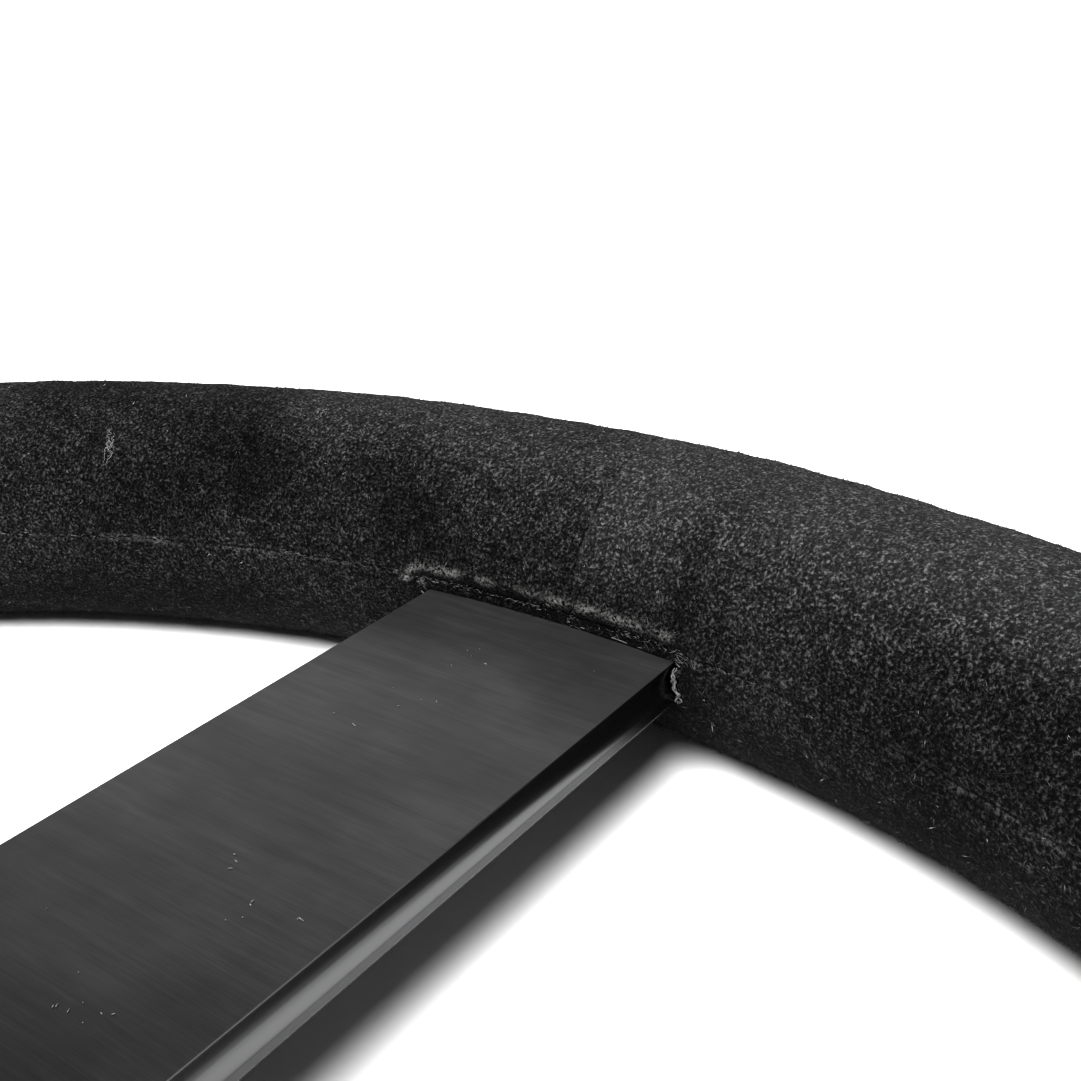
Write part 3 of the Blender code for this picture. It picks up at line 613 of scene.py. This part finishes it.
def make_fibres(name, root, way, normal, reach, wide, curl, finish, steps):
    """Closed three-sided fibres that leave root along way and curl aside; reach and wide are columns."""
    count = len(root)
    side = unit(np.cross(way, normal))
    lift = unit(np.cross(side, way))
    rings = []
    for step in range(steps + 1):
        t = step / steps
        middle = root + reach * (way * t + side * curl * t * t - lift * 0.25 * np.abs(curl) * t * t)
        thick = wide * (1 - 0.35 * t)
        if step == steps:
            rings.append(middle[:, None])
            continue
        corners = [side * cos(2 * pi * k / 3) + lift * sin(2 * pi * k / 3) for k in range(3)]
        rings.append(np.stack([middle + thick * corner for corner in corners], 1))
    vertices = np.concatenate(rings, 1)
    base = vertices.shape[1] * np.arange(count)[:, None]
    faces = [base + [0, 2, 1]]
    for step in range(steps):
        low = 3 * step
        for k in range(3):
            j = (k + 1) % 3
            if step == steps - 1:
                faces.append(base + [low + k, low + j, low + 3])
                continue
            faces.append(base + [low + k, low + j, low + 3 + j])
            faces.append(base + [low + k, low + 3 + j, low + 3 + k])
    mesh = bpy.data.meshes.new(name)
    mesh.from_pydata(vertices.reshape(-1, 3).tolist(), [], np.concatenate(faces).tolist())
    mesh.update()
    add_to_wheel(name, mesh, finish)


def scattered_ways(random, normal, low, high):
    """Directions that lean over the surface any way round, rising from low to high."""
    lean = random.normal(size=normal.shape)
    lean = unit(lean - (lean * normal).sum(1)[:, None] * normal)
    rise = random.uniform(low, high, (len(normal), 1))
    return normal * rise + lean * np.sqrt(1 - rise**2)


NAP_FIBRES = 48000  # on each quarter of the wrap
NAP_SEED = 100


def make_nap(name, points, quads, count, seed):
    """Loose fibres all over the suede."""
    random = np.random.default_rng(seed)
    normals, areas = outward_normals(points, quads)
    chosen = random.choice(len(quads), count, p=areas / areas.sum())
    share = random.uniform(0, 1, (count, 2, 1))
    corners = points[quads[chosen]]
    low = corners[:, 0] + share[:, 0] * (corners[:, 1] - corners[:, 0])
    high = corners[:, 3] + share[:, 0] * (corners[:, 2] - corners[:, 3])
    normal = normals[chosen]
    root = low + share[:, 1] * (high - low) - normal * 0.05 * MM
    way = scattered_ways(random, normal, 0.08, 0.75)
    reach = random.gamma(5.0, 0.095, (count, 1)) * MM
    wide = random.uniform(0.03, 0.06, (count, 1)) * MM
    make_fibres(name, root, way, normal, reach, wide, 0 * reach, "nap", steps=1)


def grip_normal(turn, section):
    """The direction straight out of the grip."""
    out, rise = np.cos(section) / GRIP_HALF_WIDTH, np.sin(section) / GRIP_HALF_HEIGHT
    return unit(np.stack([out * np.cos(turn), out * np.sin(turn), rise], -1))


# The frayed lips over each slot: from and to beside the spoke's middle in mm, the number of fibres, and how
# many degrees above the grip's middle they lie.
SLOT_LIPS = ((-16.5, 4.0, 1500, 10.5), (-1.0, 16.5, 900, 9.0), (4.0, 13.0, 300, 12.5))
SLOT_SIDE_FIBRES, SEAM_FIBRES, JOINT_FIBRES = 160, 5200, 500


def make_frays():
    """Pale fibres that stand out of the wrap's edges: round the slots and along the seam and joints."""
    random = np.random.default_rng(7)
    turns, sections, lifts = [], [], []
    for angle in SPOKE_ANGLES:
        for low, high, count, height in SLOT_LIPS:
            aside = random.uniform(low, high, count) * MM
            lip = radians(height) + radians(0.8) * np.sin(aside / (4 * MM) + angle)
            turns.append(angle + aside / RIM_RADIUS)
            sections.append(pi - lip + random.normal(0, radians(0.55), count))
            lifts.append(np.full(count, 0.12 * MM))
        for end in (-1, 1):
            edge = end * (SPOKE_HALF_WIDTH + 0.9 * MM) + random.normal(0, 0.3, SLOT_SIDE_FIBRES) * MM
            turns.append(angle + edge / INNER_RADIUS)
            sections.append(random.uniform(pi - radians(9), pi + radians(18), len(edge)))
            lifts.append(np.full(len(edge), -0.10 * MM))
    along = random.uniform(0, 2 * pi, SEAM_FIBRES)
    around = np.stack([np.cos(along), np.sin(along), 0 * along], -1) * RIM_RADIUS
    along = along[smooth_noise(around, 22 * MM, 22) > 0.0]
    turns.append(along)
    sections.append(SEAM_ANGLE + random.normal(0, radians(0.8), len(along)))
    lifts.append(np.full(len(along), -0.03 * MM))
    for quarter in range(4):
        section = random.uniform(0, pi, JOINT_FIBRES)
        aside = JOINT_OFFSET + random.normal(0, 0.35, JOINT_FIBRES) * MM
        turns.append(quarter * pi / 2 + aside / RIM_RADIUS)
        sections.append(section)
        lifts.append(np.full(JOINT_FIBRES, -0.03 * MM))
    turn, section, lift = (np.concatenate(parts) for parts in (turns, sections, lifts))
    root = grip_surface(turn, section, lift)
    normal = grip_normal(turn, section)
    along_rim = np.stack([-np.sin(turn), np.cos(turn), 0 * turn], -1)
    count = len(root)
    hand = random.choice([-1.0, 1.0], (count, 1))
    way = scattered_ways(random, normal, 0.0, 0.35)
    way = unit(way + along_rim * hand * 2.2)
    reach = random.gamma(4.0, 0.11, (count, 1)) * MM
    wide = random.uniform(0.012, 0.026, (count, 1)) * MM
    curl = random.normal(0, 0.6, (count, 1))
    make_fibres("frayed_edges", root, way, normal, reach, wide, curl, "fray", steps=2)


def make_strands(name, paths, thick, finish):
    """Closed five-sided threads along paths of points, thinner towards their ends."""
    vertices, faces = [], []
    sides = 5
    for path in paths:
        start = len(vertices)
        way = unit(np.gradient(path, axis=0))
        side = unit(np.cross(way, (0.31, 0.53, 0.79)))
        lift = np.cross(side, way)
        share = np.linspace(-1, 1, len(path))
        taper = thick * (1 - 0.6 * share**4)
        for k in range(len(path)):
            for j in range(sides):
                a = 2 * pi * j / sides
                vertices.append(path[k] + taper[k] * (side[k] * cos(a) + lift[k] * sin(a)))
        for k in range(len(path) - 1):
            low = start + sides * k
            for j in range(sides):
                i = (j + 1) % sides
                faces.append((low + j, low + i, low + sides + i, low + sides + j))
        faces.append([start + j for j in reversed(range(sides))])
        faces.append([start + sides * (len(path) - 1) + j for j in range(sides)])
    mesh = bpy.data.meshes.new(name)
    mesh.from_pydata([tuple(v) for v in vertices], [], faces)
    mesh.update()
    mesh.shade_smooth()
    add_to_wheel(name, mesh, finish)


def wriggle(random, steps, size):
    """A smooth random offset along a thread, in two directions."""
    t = np.linspace(0, 1, steps)
    total = np.zeros((steps, 2))
    for wave in range(1, 6):
        start = random.uniform(0, 2 * pi, 2)
        total += np.cos(2 * pi * wave * t[:, None] + start) * random.normal(0, size / sqrt(wave), 2)
    return total


# Radii of the sewing thread, the loose threads, the strands of lint and the motes of dust.
THREAD = 0.09 * MM
LOOSE_THREAD = 0.045 * MM
LINT = 0.015 * MM
DUST = 0.05 * MM
THREADS_EACH_SIDE = 3
LOOSE_STRETCHES = ((-12.5, -3.0), (2.0, 9.0), (-6.0, 5.0))  # beside the middle of each spoke, in mm


def make_slot_threads():
    """The wrap's sewing thread beside each spoke, and a loose thread on each spoke's end."""
    random = np.random.default_rng(17)
    paths = []
    for angle in SPOKE_ANGLES:
        for end in (-1, 1):
            for _ in range(THREADS_EACH_SIDE):
                steps = 40
                height = np.linspace(radians(0.5), radians(16.5), steps)
                shift = wriggle(random, steps, 0.15 * MM)
                edge = end * (SPOKE_HALF_WIDTH + 0.45 * MM + shift[:, 0])
                lift = 0.20 * MM + np.abs(shift[:, 1])
                paths.append(grip_surface(angle + edge / INNER_RADIUS, pi + height, lift))
    make_strands("slot_threads", paths, THREAD, "thread")
    ends = []
    steps = 30
    for angle, (low, high) in zip(SPOKE_ANGLES, LOOSE_STRETCHES):
        edge = np.linspace(low, high, steps) * MM
        shift = wriggle(random, steps, 0.02 * MM)
        section = pi - radians(0.9) + shift[:, 0] / MM * 0.05
        ends.append(grip_surface(angle + edge / RIM_RADIUS, section, -0.28 * MM))
    make_strands("spoke_end_threads", ends, LOOSE_THREAD, "dust")


# The place of the largest tuft of fluff, in degrees round the rim and round the grip.
TUFT_TURN, TUFT_SECTION = -66, 132
SMALL_TUFTS = 14


def make_lint():
    """Strands of fluff that cling to the grip: one tuft that stands out, and a scatter of smaller ones."""
    random = np.random.default_rng(27)
    paths = []
    tufts = [(TUFT_TURN, TUFT_SECTION, 3.8, 5)]  # each with its length in mm and its number of strands
    for _ in range(SMALL_TUFTS):
        place = random.uniform(0, 360), random.uniform(50, 170)
        tufts.append((*place, random.uniform(0.8, 3.2), random.integers(2, 5)))
    for turn, section, length, strands in tufts:
        for _ in range(strands):
            steps = 48
            reach = length * MM * random.uniform(0.45, 1.0)
            across = np.linspace(-0.5, 0.5, steps) * reach + random.normal(0, 0.2) * length * MM
            shift = wriggle(random, steps, 0.05 * length * MM)
            turns = radians(turn) + (shift[:, 0] + random.normal(0, 0.3) * MM) / RIM_RADIUS
            sections = radians(section) + across / GRIP_HALF_WIDTH
            paths.append(grip_surface(turns, sections, 0.12 * MM + 0.35 * np.abs(shift[:, 1])))
    make_strands("lint", paths, LINT, "lint")


DUST_GROUPS = 15  # on each spoke
DUSTY_HALF_WIDTH, DUSTY_END = 14, 134  # the part of a spoke's face that shows, in mm


def make_dust():
    """Motes and short hairs on the spokes' faces, scattered in loose groups."""
    random = np.random.default_rng(37)
    motes = []
    for angle in SPOKE_ANGLES:
        for _ in range(DUST_GROUPS):
            group = random.uniform(-13, 13), random.uniform(66, 133)
            for _ in range(random.integers(1, 5)):
                aside, out = random.normal(group, 1.3)
                aside = np.clip(aside, -DUSTY_HALF_WIDTH, DUSTY_HALF_WIDTH)
                motes.append((angle, aside, min(out, DUSTY_END), random.gamma(2.0, 0.14)))
    paths = []
    for angle, aside, out, length in motes:
        steps = 8
        heading = random.uniform(0, 2 * pi)
        t = np.linspace(-0.5, 0.5, steps) * max(length, 0.12)
        bend = random.normal(0, 0.5) * t * t
        out_way = np.array([cos(angle), sin(angle), 0])
        side_way = np.array([-sin(angle), cos(angle), 0])
        along = out + t * cos(heading) - bend * sin(heading)
        across = aside + t * sin(heading) + bend * cos(heading)
        path = np.outer(along, out_way) * MM + np.outer(across, side_way) * MM
        path[:, 2] = PLATE_TOP + 0.04 * MM
        paths.append(path)
    make_strands("dust", paths, DUST, "dust")


def make_grip():
    for side, (quarter, tone) in QUARTERS.items():
        piece, points, quads = make_wrap("suede_" + side, quarter, tone)
        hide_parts("wrap_" + side)
        make_nap("nap_" + side, points, quads, NAP_FIBRES, NAP_SEED + quarter)
    make_frays()
    make_slot_threads()
    make_lint()
    make_dust()


# ---------------------------------------------------------------- springs


def make_spring(name, node, turns, wire):
    """A round-wire coil in the place of its CAD node."""
    low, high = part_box(node)
    radius = (high.x - low.x) / 2 - wire
    bottom, top = low.z + wire, high.z - wire
    steps, sides = 40, 10  # round one turn, and round the wire
    bm = bmesh.new()
    rings = []
    total = round(turns * steps)
    for k in range(total + 1):
        share = k / total
        z = bottom + (top - bottom) * share
        turn = 2 * pi * turns * share
        middle = Vector((radius * cos(turn), radius * sin(turn), z))
        out = Vector((cos(turn), sin(turn), 0))
        ring = []
        for j in range(sides):
            a = 2 * pi * j / sides
            ring.append(bm.verts.new(middle + out * wire * cos(a) + Vector((0, 0, wire * sin(a)))))
        rings.append(ring)
    for a, b in zip(rings, rings[1:]):
        for j in range(sides):
            i = (j + 1) % sides
            bm.faces.new((a[j], a[i], b[i], b[j]))
    bm.faces.new(rings[0])
    bm.faces.new(rings[-1])
    bmesh.ops.recalc_face_normals(bm, faces=bm.faces)
    mesh = bpy.data.meshes.new(name)
    bm.to_mesh(mesh)
    bm.free()
    mesh.shade_smooth()
    mesh.set_sharp_from_angle(angle=radians(50))
    piece = add_piece(name, mesh, "spring_steel")
    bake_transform(piece)
    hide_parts(node)


# ---------------------------------------------------------------- the CAD pieces' finishes


SOFT_EDGE = radians(32)  # edges sharper than this stay sharp on the CAD pieces


def dress_cad_nodes():
    """Give each CAD piece its material, apart from the wraps, which are replaced."""
    finishes = {
        "spoke_plate": "brushed_black",
        "coupler_body": "black_turned",
        "horn_bezel": "black_turned",
        "release_collar": "alloy_turned",
        "column_adapter": "alloy_turned",
        "rim_core": "alloy",
        "rim_padding": "foam",
        "anti_rattle_ring": "rubber",
        "stop_washer": "zinc",
        "snap_ring": "spring_steel",
        "horn_button": "black_plastic",
        "horn_contact_moving": "brass",
        "horn_contact_fixed": "brass",
        "horn_base": "nylon",
        "horn_spring": "spring_steel",
        "collar_spring": "spring_steel",
        "horn_terminal_1": "brass",
        "horn_terminal_2": "brass",
    }
    repeated = {"ball": "steel", "screw": "steel", "rivet": "zinc"}
    for name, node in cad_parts.items():
        kind = name.rstrip("_0123456789")
        finish = finishes.get(name) or repeated.get(kind)
        if finish is None:
            continue
        node.data.materials.clear()
        node.data.materials.append(MATERIALS[finish])
        node.data.shade_smooth()
        node.data.set_sharp_from_angle(angle=SOFT_EDGE)


MATERIALS = {
    "suede": suede_material(),
    "nap": nap_material(),
    "lint": fluff_material("lint", 0.16, 0.50),
    "fray": fluff_material("fray", 0.04, 0.22),
    "dust": fluff_material("dust", 0.07, 0.20),
    "thread": fluff_material("thread", 0.07, 0.15),
    "brushed_black": brushed_black_material(),
    "black_turned": turned_material("black_turned", (0.06, 0.06, 0.062), 0.38),
    "alloy_turned": turned_material("alloy_turned", (0.20, 0.20, 0.205), 0.34),
    "alloy": metal_material("alloy", (0.24, 0.24, 0.245), 0.40),
    "steel": metal_material("steel", (0.58, 0.58, 0.57), 0.22, 0.8 * MM),
    "zinc": metal_material("zinc", (0.50, 0.51, 0.52), 0.38, 1.2 * MM),
    "spring_steel": metal_material("spring_steel", (0.26, 0.26, 0.27), 0.34),
    "brass": metal_material("brass", (0.80, 0.58, 0.25), 0.34, 0.9 * MM),
    "black_plastic": plastic_material("black_plastic", (0.022, 0.022, 0.023), 0.5),
    "nylon": plastic_material("nylon", (0.72, 0.70, 0.62), 0.5, 1.5 * MM, 0.01 * MM),
    "rubber": plastic_material("rubber", (0.018, 0.018, 0.018), 0.75, 0.6 * MM),
    "foam": plastic_material("foam", (0.045, 0.045, 0.045), 0.95, 0.7 * MM, 0.2 * MM),
}

place_camera()
make_studio()
dress_cad_nodes()
make_grip()
make_spring("collar_coil", "collar_spring", 3, 0.75 * MM)
make_spring("horn_coil", "horn_spring", 3, 0.6 * MM)
